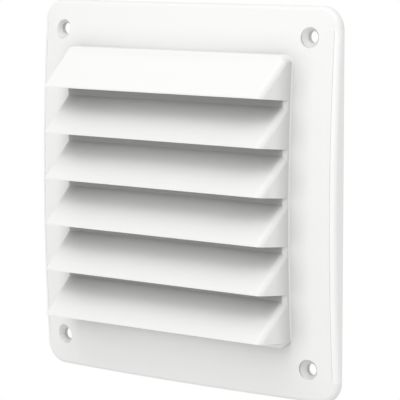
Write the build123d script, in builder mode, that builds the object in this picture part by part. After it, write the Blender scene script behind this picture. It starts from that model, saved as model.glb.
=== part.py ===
from build123d import *
from math import cos, radians, sin, tan
import os

os.makedirs("parts", exist_ok=True)

# An outdoor wall vent grille, moulded in one piece. X runs to the right, Z up and Y into the wall.
# The origin is the centre of the screw pattern, on the wall's face, so all that is in front has a negative Y.
# A height is the distance in front of the wall.

# Body, the square curb round the air opening
body_side = 112.4
body_height = 111.4
body_corner_radius = 4.5
body_wall = 2.0
curb_height = 11.0
curb_edge_radius = 2.0
top_edge_radius = 1.2
side_draft = 2.6

# Hoods
hood_count = 6
hood_angle = 43.2
hood_wall = 2.0
hood_crease_radius = 2.6
lip_gap = 3.9
lip_edge = 0.5
last_lip_rise = 3.8
top_edge_height = 9.85
shut_off_angle = 5.2
upstand_wall = 2.0

# Flange, a plate that falls from the body to its rim and bows along each side
flange_width = 19.0
flange_drop = 0.65
flange_corner_radius = 9.0
flange_fall_angle = 10.2
flange_wall = 2.2
hip_radius = 60.0
rim_height = 5.3
rim_corner_height = 2.1
rim_radius = 2.2
seam_width = 0.35
seam_depth = 0.3

# Screw holes
hole_inset = 12.2
bore_diameter = 4.6
sink_diameter = 8.2
sink_angle = 90.0
sink_step = 0.45
boss_wall = 2.7
boss_recess = 1.2

# Slopes, as a fall per millimetre
hood_slope = tan(radians(hood_angle))
shut_off_slope = tan(radians(shut_off_angle))
fall_slope = tan(radians(flange_fall_angle))
draft_slope = tan(radians(side_draft))

# Pitch and projection of the hoods, so that they fill the body from its top edge to the last lip
face_over_curb = (curb_height - top_edge_height) * hood_slope
hood_pitch = (body_height - last_lip_rise - face_over_curb + lip_gap) / hood_count
lip_height = curb_height + (hood_pitch - lip_gap - lip_edge) / hood_slope
half_body = body_side / 2
body_base = half_body - body_height
lip_levels = [body_base + last_lip_rise + hood_pitch * n for n in reversed(range(hood_count))]

# Flange and hole places
half_flange = half_body + flange_width
apex_height = rim_height + fall_slope * half_flange
bow = rim_height - rim_corner_height
bow_radius = (half_flange**2 + bow**2) / (2 * bow)
foot_height = apex_height - fall_slope * half_body
half_hole_pitch = half_flange - hole_inset
hole_face_height = apex_height - fall_slope * half_hole_pitch - half_hole_pitch**2 / (2 * bow_radius)
bore_radius = bore_diameter / 2
sink_slope = tan(radians(sink_angle / 2))
step_height = hole_face_height - sink_step
cone_foot_height = step_height - (sink_diameter - bore_diameter) / 2 / sink_slope


def face_z(lip_z, height):
    """Level of a hood's sloping face at a height in front of the wall."""
    return lip_z + lip_edge + (lip_height - height) * hood_slope


def shut_off_z(lip_z, height):
    """Level of the plane that ends a hood below, where the two halves of the mould meet."""
    return lip_z - (lip_height - height) * shut_off_slope


def crowned_plate(side, corner_radius, lowered):
    """Plate of a square outline under four bowed, falling faces, lowered all over by one distance."""
    fall = radians(flange_fall_angle)
    with BuildPart() as plate:
        with BuildSketch(Plane.XZ):
            RectangleRounded(side, side, corner_radius)
        extrude(amount=curb_height - upstand_wall - lowered)
        for outward in (Vector(1, 0, 0), Vector(0, 0, 1), Vector(-1, 0, 0), Vector(0, 0, -1)):
            normal = outward * sin(fall) - Vector(0, cos(fall), 0)
            downhill = outward * cos(fall) + Vector(0, sin(fall), 0)
            axis_point = Vector(0, lowered - apex_height, 0) - normal * bow_radius
            with Locations(Plane(origin=axis_point, x_dir=-normal, z_dir=downhill)):
                Cylinder(bow_radius, 4 * half_flange, mode=Mode.INTERSECT)
    return plate


def drafted_block(wall, height):
    """Block inside the body's drafted sides, a wall's thickness in from them and from its top and bottom."""
    back = half_body - wall + foot_height * draft_slope
    front = back - height * draft_slope
    with BuildPart() as block:
        with BuildSketch(Plane.XY.offset(body_base + wall)):
            with BuildLine():
                Polyline((-back, 0), (-front, -height), (front, -height), (back, 0), close=True)
            make_face()
        extrude(amount=body_height - 2 * wall)
    return block


# Flange, rounded at the hips and the rim
flange_block = crowned_plate(2 * half_flange, flange_corner_radius, 0)
with BuildPart() as flange:
    add(flange_block.part)
    sloping = flange.edges().filter_by(lambda e: e.length > flange_width)
    hips = sloping.filter_by(lambda e: abs(abs(e.center().X) - abs(e.center().Z)) < rim_radius)
    fillet(hips, hip_radius)
    rim_band = flange.edges().filter_by(lambda e: -e.center().Y > rim_corner_height / 2)
    rim_reach = half_flange - rim_radius - flange_wall
    fillet(rim_band.filter_by(lambda e: max(abs(e.center().X), abs(e.center().Z)) > rim_reach), rim_radius)

# Fine seam down each side of the flange, where the rounding of the rim starts
seam_floor = crowned_plate(2 * half_flange, flange_corner_radius, seam_depth)
with BuildPart() as seams:
    with BuildSketch(Plane.XZ):
        with GridLocations(2 * (half_flange - rim_radius), 0, 2, 1):
            Rectangle(seam_width, 2 * (half_flange - flange_corner_radius))
    extrude(amount=curb_height)
    add(seam_floor.part, mode=Mode.SUBTRACT)

# Flange hollowed from behind and opened inside the body's wall
flange_core = crowned_plate(2 * (half_flange - flange_wall), flange_corner_radius - flange_wall, flange_wall)
with BuildPart() as flange_shell:
    with Locations((0, 0, -flange_drop)):
        add(flange.part)
        add(seams.part, mode=Mode.SUBTRACT)
        add(flange_core.part, mode=Mode.SUBTRACT)
    with BuildSketch(Plane.XZ):
        with Locations((0, half_body - body_height / 2)):
            RectangleRounded(body_side - body_wall, body_height - body_wall, body_corner_radius - body_wall / 2)
    extrude(amount=curb_height, mode=Mode.SUBTRACT)

# Bosses behind the screw holes
with BuildPart() as bosses:
    with BuildSketch(Plane.XZ.offset(boss_recess)):
        with GridLocations(2 * half_hole_pitch, 2 * half_hole_pitch, 2, 2):
            Circle(bore_radius + boss_wall)
    extrude(amount=curb_height)
    with Locations((0, 0, -flange_drop)):
        add(flange.part, mode=Mode.INTERSECT)

# Curb, rounded at its bottom corners and along the sides and the bottom of its front face
curb_block = drafted_block(0, curb_height)
with BuildPart() as curb:
    add(curb_block.part)
    side_edges = curb.edges().filter_by(lambda e: abs(e.center().X) > half_body / 2)
    fillet(side_edges.group_by(Axis.Z)[0], body_corner_radius)
    front_edges = curb.faces().sort_by(Axis.Y)[0].edges()
    fillet(front_edges.sort_by(Axis.Z)[:-1], curb_edge_radius)

# One hood, a wedge with rounded side creases that starts behind the flange's face
hood_root = rim_height
hood_sides = drafted_block(0, lip_height)
with BuildPart() as hood:
    with BuildSketch(Plane.YZ):
        with BuildLine():
            Polyline(
                (-hood_root, shut_off_z(0, hood_root)),
                (-lip_height, 0),
                (-lip_height, lip_edge),
                (-hood_root, face_z(0, hood_root)),
                close=True,
            )
        make_face()
    extrude(amount=body_side, both=True)
    add(hood_sides.part, mode=Mode.INTERSECT)
    hood_face = hood.faces().sort_by(lambda f: f.normal_at().Z)[-1]
    fillet(hood_face.edges().filter_by(lambda e: abs(e.center().X) > half_body / 2), hood_crease_radius)

# Body: the curb with its hoods, under the top hood's face
with BuildPart() as body:
    add(curb.part)
    for lip_z in lip_levels:
        with Locations((0, 0, lip_z)):
            add(hood.part)
    with BuildSketch(Plane.YZ) as upper:
        with BuildLine():
            Polyline(
                (0, half_body),
                (-top_edge_height, half_body),
                (-2 * lip_height, face_z(lip_levels[0], 2 * lip_height)),
                (-2 * lip_height, -body_side),
                (0, -body_side),
                close=True,
            )
        make_face()
        fillet(upper.vertices().group_by(Axis.Y)[-1].sort_by(Axis.X)[0], top_edge_radius)
    extrude(amount=body_side, both=True, mode=Mode.INTERSECT)
    with BuildSketch(Plane.XZ) as front_view:
        with Locations((0, half_body - body_side)):
            Rectangle(2 * half_body + 2 * foot_height * draft_slope, 2 * body_side)
        fillet(front_view.vertices().group_by(Axis.Y)[-1], body_corner_radius)
    extrude(amount=lip_height, mode=Mode.INTERSECT)

# Air space inside the curb and the hoods
duct_end = curb_height - upstand_wall
wedge_start = duct_end - upstand_wall
face_drop = hood_wall / cos(radians(hood_angle))
land = (face_drop - lip_edge) / (hood_slope + shut_off_slope)
inside_block = drafted_block(body_wall, lip_height)
with BuildPart() as inside:
    add(inside_block.part)
    inner_edges = inside.edges().filter_by(lambda e: abs(e.center().X) > half_body / 2).group_by(Axis.Z)
    fillet(inner_edges[0] + inner_edges[-1], body_corner_radius - body_wall)
with BuildPart() as air_space:
    with BuildSketch(Plane.XZ):
        Rectangle(2 * body_side, body_side)
    extrude(amount=duct_end)
    for lip_z in lip_levels:
        with BuildSketch(Plane.YZ):
            with BuildLine():
                Polyline(
                    (-wedge_start, shut_off_z(lip_z, wedge_start)),
                    (land - lip_height, shut_off_z(lip_z, lip_height - land)),
                    (-wedge_start, face_z(lip_z, wedge_start) - face_drop),
                    close=True,
                )
            make_face()
        extrude(amount=body_side, both=True)
    add(inside.part, mode=Mode.INTERSECT)

# Screw hole with its stepped sink, turned round its own axis
with BuildPart() as screw_hole:
    with BuildSketch(Plane.XZ):
        with BuildLine():
            Polyline(
                (0, 0),
                (bore_radius, 0),
                (bore_radius, cone_foot_height),
                (sink_diameter / 2, step_height),
                (sink_diameter / 2, curb_height),
                (0, curb_height),
                close=True,
            )
        make_face()
    revolve(axis=Axis.Z)

with BuildPart() as vent_grille:
    add(flange_shell.part)
    add(bosses.part)
    add(body.part)
    add(air_space.part, mode=Mode.SUBTRACT)
    with Locations(Plane.XZ):
        with GridLocations(2 * half_hole_pitch, 2 * half_hole_pitch, 2, 2):
            add(screw_hole.part, mode=Mode.SUBTRACT)

vent_grille.part.label = "vent_grille"
export_step(vent_grille.part, "parts/vent_grille.step")
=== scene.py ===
import math

import bmesh
import bpy
from mathutils import Matrix, Vector


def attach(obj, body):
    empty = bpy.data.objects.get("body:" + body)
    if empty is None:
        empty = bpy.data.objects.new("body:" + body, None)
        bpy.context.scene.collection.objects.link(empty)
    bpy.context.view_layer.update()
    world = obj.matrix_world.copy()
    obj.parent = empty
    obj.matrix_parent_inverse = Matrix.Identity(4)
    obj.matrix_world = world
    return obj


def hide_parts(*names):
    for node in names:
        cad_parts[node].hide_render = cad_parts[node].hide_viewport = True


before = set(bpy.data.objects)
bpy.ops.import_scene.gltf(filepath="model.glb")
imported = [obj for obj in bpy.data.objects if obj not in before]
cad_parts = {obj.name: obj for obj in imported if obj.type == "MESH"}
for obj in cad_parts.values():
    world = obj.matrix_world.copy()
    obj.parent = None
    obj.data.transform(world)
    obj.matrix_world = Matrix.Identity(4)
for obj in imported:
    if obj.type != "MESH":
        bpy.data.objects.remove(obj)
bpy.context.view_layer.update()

# All places are in metres in the frame of the CAD: X runs to the right, Z up, and Y into the wall, with the
# wall's face at 0.


def linear(hex_colour):
    """An sRGB hex value as the linear colour that the shader works in."""
    parts = [int(hex_colour[i : i + 2], 16) / 255 for i in (1, 3, 5)]
    return tuple(c / 12.92 if c <= 0.04045 else ((c + 0.055) / 1.055) ** 2.4 for c in parts) + (1.0,)


def node(tree, kind, links=(), shades=(), **values):
    """A shader node with its settings and links.

    A link is (socket, output of another node), and a ramp's shade is (place on the ramp, sRGB hex value).
    """
    made = tree.nodes.new(kind)
    for name, value in values.items():
        if hasattr(made, name):
            setattr(made, name, value)
        else:
            made.inputs[name].default_value = value
    for socket, output in links:
        tree.links.new(output, made.inputs[socket])
    if shades:
        stops = made.color_ramp.elements
        while len(stops) < len(shades):
            stops.new(1.0)
        for stop, (place, shade) in zip(stops, shades):
            stop.position = place
            stop.color = linear(shade)
    return made


def new_material(name):
    """An empty node material and its output node."""
    made = bpy.data.materials.new(name)
    made.use_nodes = True
    made.node_tree.nodes.clear()
    return made, made.node_tree.nodes.new("ShaderNodeOutputMaterial")


plastic_ior = 1.5

# Ripple that the mould leaves on the plastic, 1.1 mm from wave to wave and 0.02 mm deep
ripple_scale = 900.0
ripple_depth = 0.00002
ripple_strength = 0.05

# How far the painted shade looks round for walls that close in, and for tight corners
open_reach = 0.03
corner_reach = 0.01
occlusion_samples = 16

# Painted shade: tone from a place that is closed in to an open one, by the share of open directions
open_painted_shade_steps = (
    (0.15, "#9A9A99"),
    (0.3, "#C0C0BF"),
    (0.45, "#CCCCCB"),
    (0.57, "#DBDBDA"),
    (0.69, "#E9E9E8"),
    (0.8, "#EEEEED"),
)
# Deeper painted shade for the ledges at the back of the gaps
ledge_painted_shade_steps = ((0.15, "#747473"), (0.32, "#989897"), (0.45, "#A8A8A7"), (0.8, "#D0D0CF"))
# Painted shade once more in tight corners
corner_painted_shade_steps = ((0.45, "#EAEAEA"), (0.85, "#EFEFEF"), (0.93, "#F7F7F7"), (1.0, "#FFFFFF"))


def mould_ripple(tree, place):
    """The bump that the ripple makes, at the place that a coordinate node gives."""
    waves = node(tree, "ShaderNodeTexNoise", [("Vector", place.outputs["Object"])], Scale=ripple_scale)
    return node(
        tree,
        "ShaderNodeBump",
        [("Height", waves.outputs["Fac"])],
        Strength=ripple_strength,
        Distance=ripple_depth,
    )


def plastic_with_painted_shade(name, shades):
    """Injection-moulded ASA: a clean white with a soft sheen and the faintest ripple in its highlights.

    It takes a deeper painted shade in its colour where the walls close in under the hoods, and once more in
    tight corners.
    """
    made, end = new_material(name)
    tree = made.node_tree
    place = node(tree, "ShaderNodeTexCoord")
    relief = mould_ripple(tree, place)
    openness = node(tree, "ShaderNodeAmbientOcclusion", samples=occlusion_samples, Distance=open_reach)
    tone = node(tree, "ShaderNodeValToRGB", [("Fac", openness.outputs["AO"])], shades)
    corner = node(tree, "ShaderNodeAmbientOcclusion", samples=occlusion_samples, Distance=corner_reach)
    tight_corner_painted_shade = node(tree, "ShaderNodeValToRGB", [("Fac", corner.outputs["AO"])], corner_painted_shade_steps)
    colour = node(
        tree,
        "ShaderNodeVectorMath",
        [(0, tone.outputs["Color"]), (1, tight_corner_painted_shade.outputs["Color"])],
        operation="MULTIPLY",
    )
    sheen = node(
        tree,
        "ShaderNodeBsdfPrincipled",
        [("Normal", relief.outputs["Normal"]), ("Base Color", colour.outputs["Vector"])],
        Roughness=0.45,
        IOR=plastic_ior,
    )
    tree.links.new(sheen.outputs["BSDF"], end.inputs["Surface"])
    return made


# Height less distance from the middle, at the side end of an upper corner and half way round it
side_turn = -0.0047
half_turn = 0.0


def edge_plastic(name, shade, side_painted_shade=None):
    """The same plastic, a little glossier, with one flat tone in place of the painted corner shade: painted
    light that stays light between walls that meet.

    With a second shade, the tone goes over into that one where an upper corner turns down to its side:
    painted shade on the side, lighter on top.
    """
    made, end = new_material(name)
    tree = made.node_tree
    place = node(tree, "ShaderNodeTexCoord")
    relief = mould_ripple(tree, place)
    gloss = node(
        tree,
        "ShaderNodeBsdfPrincipled",
        [("Normal", relief.outputs["Normal"])],
        Roughness=0.35,
        IOR=plastic_ior,
    )
    gloss.inputs["Base Color"].default_value = linear(shade)
    if side_painted_shade:
        parts = node(tree, "ShaderNodeSeparateXYZ", [("Vector", place.outputs["Object"])])
        across = node(tree, "ShaderNodeMath", [(0, parts.outputs["X"])], operation="ABSOLUTE")
        turned = node(
            tree,
            "ShaderNodeMath",
            [(0, parts.outputs["Z"]), (1, across.outputs["Value"])],
            operation="SUBTRACT",
        )
        share = node(tree, "ShaderNodeMapRange", [("Value", turned.outputs["Value"])])
        share.inputs["From Min"].default_value = side_turn
        share.inputs["From Max"].default_value = half_turn
        fade = node(
            tree,
            "ShaderNodeValToRGB",
            [("Fac", share.outputs["Result"])],
            ((0.0, side_painted_shade), (1.0, shade)),
        )
        tree.links.new(fade.outputs["Color"], gloss.inputs["Base Color"])
    tree.links.new(gloss.outputs["BSDF"], end.inputs["Surface"])
    return made


# The ledge at the back of each gap gets a deeper painted shade, a shade greyer than the rest
plastic = plastic_with_painted_shade("white_asa_plastic_painted_shade", open_painted_shade_steps)
ledge_painted_shade_plastic = plastic_with_painted_shade("white_asa_ledge_painted_shade", ledge_painted_shade_steps)
# Painted light: a flat tone, lighter than the painted shade around it, for the light line along the foot's
# rounding
foot_painted_light_plastic = edge_plastic("white_asa_foot_rounding_painted_light", "#E0E0DF")
# Painted highlight on the rim's rounding and painted light on its side and seams, a lighter tone
rim_painted_highlight_plastic = edge_plastic("white_asa_rim_painted_highlight", "#F4F4F3")
# Painted light on the body's upper corners, lighter on top, with painted shade down their sides
corner_painted_light_plastic = edge_plastic("white_asa_corner_painted_light", "#EDEDEC", "#CECECD")

# The grille itself is the CAD solid, its loose triangles joined into one skin
join_distance = 0.000002
crease_angle = math.radians(28)
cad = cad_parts["vent_grille"]
bpy.ops.object.select_all(action="DESELECT")
skin = cad.data.copy()
skin.transform(cad.matrix_world)
grille = bpy.data.objects.new("vent_grille_skin", skin)
bpy.context.scene.collection.objects.link(grille)
grille.select_set(True)
bpy.context.view_layer.objects.active = grille
bpy.ops.object.mode_set(mode="EDIT")
bpy.ops.mesh.select_all(action="SELECT")
bpy.ops.mesh.remove_doubles(threshold=join_distance)
bpy.ops.object.mode_set(mode="OBJECT")

# Its own normals, as they come with the frame, leave streaks along the creases
bpy.ops.mesh.customdata_custom_splitnormals_clear()
bpy.ops.object.shade_smooth_by_angle(angle=crease_angle)
weighted = grille.modifiers.new("even_normals", "WEIGHTED_NORMAL")
weighted.keep_sharp = True
weighted.weight = 100
grille.data.materials.clear()
for material in (plastic, rim_painted_highlight_plastic, ledge_painted_shade_plastic, corner_painted_light_plastic):
    grille.data.materials.append(material)

# Fine seams and the rim outside them: these take the painted highlight
seam_inside = 0.0728
seam_end = 0.0673
flange_middle = -0.00065

# Ledges behind the gaps, without the curb below the last hood: these take the deeper painted shade
ledge_face = -0.011
ledge_band = 0.0001
ledge_low = -0.05

# Upper corners of the body: these take the painted light, with painted shade down their sides
corner_start = 0.0515
corner_side = 0.0568
corner_top = 0.0566
corner_front = -0.0115

# Faces that take the painted highlight, the ledges' deeper painted shade and the corners' painted light
for face in grille.data.polygons:
    points = [grille.data.vertices[n].co for n in face.vertices]
    if all(abs(p.x) > seam_inside and abs(p.z - flange_middle) < seam_end for p in points):
        face.material_index = 1
    if all(abs(p.y - ledge_face) < ledge_band and p.z > ledge_low for p in points):
        face.material_index = 2
    if all(
        corner_start < abs(p.x) < corner_side and corner_start < p.z < corner_top and p.y > corner_front
        for p in points
    ):
        face.material_index = 3
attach(grille, "root")
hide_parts("vent_grille")

# Concave rounding where the body stands on the flange, a fine ring all round the body
body_half = 0.0562
body_low = -0.0546
corner_radius = 0.0045
step_reach = 0.0005
step_rise = 0.00055
step_depth = 0.0009
step_sink = 0.0008
top_reach = 0.0003
draft_reach = 0.0004
corner_steps = 10
straight_step = 0.004

# Its outer edge seen from the front, as points with the direction that leads outwards there
radius = corner_radius + step_reach
side_limit = body_half + step_reach
centre_x = body_half + draft_reach + step_reach - radius
corners = []
for side, level, start in ((1, 1, 0), (-1, 1, 90), (-1, -1, 180), (1, -1, 270)):
    centre_z = body_half + top_reach - radius if level > 0 else body_low + radius
    for n in range(corner_steps + 1):
        angle = math.radians(start + 90 * n / corner_steps)
        out = Vector((math.cos(angle), 0, math.sin(angle)))
        edge = Vector((side * centre_x, 0, centre_z)) + out * radius
        edge.x = max(-side_limit, min(side_limit, edge.x))
        corners.append((edge, out))
outline = []
for (here, out_here), (there, out_there) in zip(corners, corners[1:] + corners[:1]):
    parts = max(1, round((there - here).length / straight_step))
    for n in range(parts):
        outline.append((here.lerp(there, n / parts), out_here.lerp(out_there, n / parts)))

# Its section, as distances inwards from that edge and in front of the flange
section = (
    (step_depth, -step_sink),
    (step_depth, step_rise),
    (step_rise, step_rise),
    (0.0, 0.0),
    (0.0, -step_sink),
)
probe_reach = 0.0002
probe_front = -0.1
ring = bmesh.new()
loops = []
for edge, out in outline:
    probe = edge + probe_reach * out
    probe.y = probe_front
    flange_level = grille.ray_cast(probe, Vector((0, 1, 0)))[1].y
    loop = []
    for inwards, height in section:
        point = edge - inwards * out
        point.y = flange_level - height
        loop.append(ring.verts.new(point))
    loops.append(loop)
for here, there in zip(loops, loops[1:] + loops[:1]):
    for a, b, c, d in zip(here, here[1:] + here[:1], there[1:] + there[:1], there):
        ring.faces.new((a, b, c, d))
bmesh.ops.recalc_face_normals(ring, faces=ring.faces)
ring_mesh = bpy.data.meshes.new("foot_step")
ring.to_mesh(ring_mesh)
ring.free()
foot_step = bpy.data.objects.new("foot_step", ring_mesh)
bpy.context.scene.collection.objects.link(foot_step)
# The ring's flat tone is painted light, the light line along the foot
foot_step.data.materials.append(foot_painted_light_plastic)
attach(foot_step, "root")


def white_stage(name, shade):
    """Matt card: it lights the object with its pale tone and shows the eye plain white."""
    made, end = new_material(name)
    tree = made.node_tree
    path = node(tree, "ShaderNodeLightPath")
    card = node(tree, "ShaderNodeBsdfDiffuse", Color=linear(shade))
    white = node(tree, "ShaderNodeEmission", Strength=1.0)
    mix = node(
        tree,
        "ShaderNodeMixShader",
        [("Fac", path.outputs["Is Camera Ray"]), (1, card.outputs["BSDF"]), (2, white.outputs["Emission"])],
    )
    tree.links.new(mix.outputs["Shader"], end.inputs["Surface"])
    return made


# Pale floor under the grille
floor_size = 6.0
floor_level = -0.16
bpy.ops.object.select_all(action="DESELECT")
bpy.ops.mesh.primitive_plane_add(size=floor_size, location=(0, 0, 0))
floor = bpy.context.active_object
floor.name = "floor"
floor.data.transform(Matrix.Translation((0, 0, floor_level)))
floor.data.materials.append(white_stage("pale_floor_card", "#E6E6E6"))

# White surroundings for the eye, soft grey light for the object
world = bpy.data.worlds.new("studio")
bpy.context.scene.world = world
world.use_nodes = True
sky = world.node_tree
sky.nodes.clear()
ray = node(sky, "ShaderNodeLightPath")
soft = node(sky, "ShaderNodeBackground", Color=linear("#FFFFFF"), Strength=0.79)
plain = node(sky, "ShaderNodeBackground", Color=linear("#FFFFFF"), Strength=1.0)
seen = node(
    sky,
    "ShaderNodeMixShader",
    [
        ("Fac", ray.outputs["Is Camera Ray"]),
        (1, soft.outputs["Background"]),
        (2, plain.outputs["Background"]),
    ],
)
node(sky, "ShaderNodeOutputWorld", [("Surface", seen.outputs["Shader"])])


def soft_lamp(name, place, size, watts):
    """A large square lamp that shines from its place towards the grille's middle."""
    data = bpy.data.lights.new(name, "AREA")
    data.shape = "SQUARE"
    data.size = size
    data.energy = watts
    lamp = bpy.data.objects.new(name, data)
    lamp.location = place
    lamp.rotation_euler = (-Vector(place)).to_track_quat("-Z", "Y").to_euler()
    bpy.context.scene.collection.objects.link(lamp)


soft_lamp("top_light", (0.0, -0.6, 1.04), 0.8, 2.4)
soft_lamp("front_light", (0.2, -0.96, 0.67), 0.8, 2.7)
soft_lamp("low_fill", (0.6, -1.0, -0.15), 0.6, 1.5)

# Camera at the photograph's angle, solved from the flange, the holes and the lips
turn = math.radians(39.88)
rise = math.radians(6.53)
eye = Vector((0.5888, -0.6983, 0.1014))
back = Vector((math.sin(turn) * math.cos(rise), -math.cos(turn) * math.cos(rise), math.sin(rise)))
right = Vector((math.cos(turn), math.sin(turn), 0))
up = back.cross(right)
lens = bpy.data.cameras.new("photo_camera")
lens.sensor_width = 36
lens.lens = 209.7
lens.clip_start = 0.05
camera = bpy.data.objects.new("photo_camera", lens)
camera.matrix_world = Matrix(
    (
        (right.x, up.x, back.x, eye.x),
        (right.y, up.y, back.y, eye.y),
        (right.z, up.z, back.z, eye.z),
        (0, 0, 0, 1),
    )
)
bpy.context.scene.collection.objects.link(camera)
bpy.context.scene.camera = camera
bpy.context.scene.view_settings.view_transform = "Standard"
